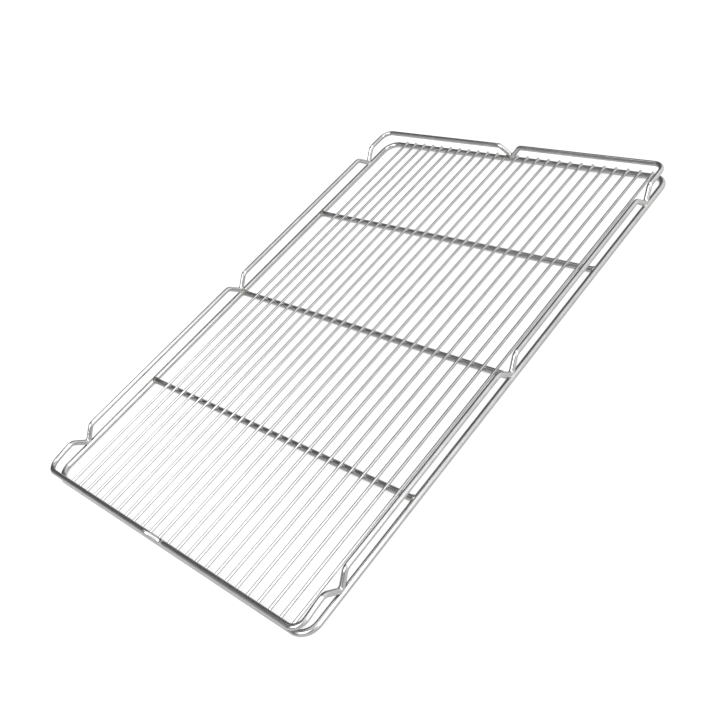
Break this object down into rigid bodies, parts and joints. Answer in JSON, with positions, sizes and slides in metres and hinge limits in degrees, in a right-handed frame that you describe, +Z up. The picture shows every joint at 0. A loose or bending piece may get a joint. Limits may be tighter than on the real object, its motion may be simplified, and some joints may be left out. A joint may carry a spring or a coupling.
{
  "type": "cooling rack",
  "caption": "Flat welded wire cooling rack for a bakery: a mat of thin wires on crossbars inside a round-cornered frame, with a raised rim wire that dips down to the frame.",
  "frame": {"origin": "middle of the surface that the rack stands on, under the middle of the frame", "axes": "+X across the width, towards the side that the mat of wires lies nearer to; +Y along the length, parallel to the grid wires; +Z up"},
  "size_m": [0.4, 0.6, 0.0236],
  "materials": {
    "frame_wire_steel": "drawn stainless wire, bright, with faint draw lines",
    "rim_wire_steel": "drawn stainless wire, bright, with faint draw lines",
    "crossbar_wire_steel": "drawn stainless wire, satin, with faint draw lines",
    "grid_wire_steel": "thin drawn stainless wire, bright",
    "weld_metal": "cleaned weld with a trace of straw heat tint"
  },
  "bodies": {
    "root": {"perimeter_frame": "frame_wire_steel", "rim_wire": "rim_wire_steel", "crossbar_front": "crossbar_wire_steel", "crossbar_middle": "crossbar_wire_steel", "crossbar_rear": "crossbar_wire_steel", "grid_wire_01": "grid_wire_steel", "grid_wire_02": "grid_wire_steel", "grid_wire_03": "grid_wire_steel", "grid_wire_04": "grid_wire_steel", "grid_wire_05": "grid_wire_steel", "grid_wire_06": "grid_wire_steel", "grid_wire_07": "grid_wire_steel", "grid_wire_08": "grid_wire_steel", "grid_wire_09": "grid_wire_steel", "grid_wire_10": "grid_wire_steel", "grid_wire_11": "grid_wire_steel", "grid_wire_12": "grid_wire_steel", "grid_wire_13": "grid_wire_steel", "grid_wire_14": "grid_wire_steel", "grid_wire_15": "grid_wire_steel", "grid_wire_16": "grid_wire_steel", "grid_wire_17": "grid_wire_steel", "grid_wire_18": "grid_wire_steel", "grid_wire_19": "grid_wire_steel", "grid_wire_20": "grid_wire_steel", "grid_wire_21": "grid_wire_steel", "grid_wire_22": "grid_wire_steel", "grid_wire_23": "grid_wire_steel", "grid_wire_24": "grid_wire_steel", "grid_wire_25": "grid_wire_steel", "rim_spot_welds": "weld_metal", "crossbar_end_welds": "weld_metal"}
  },
  "joints": []
}
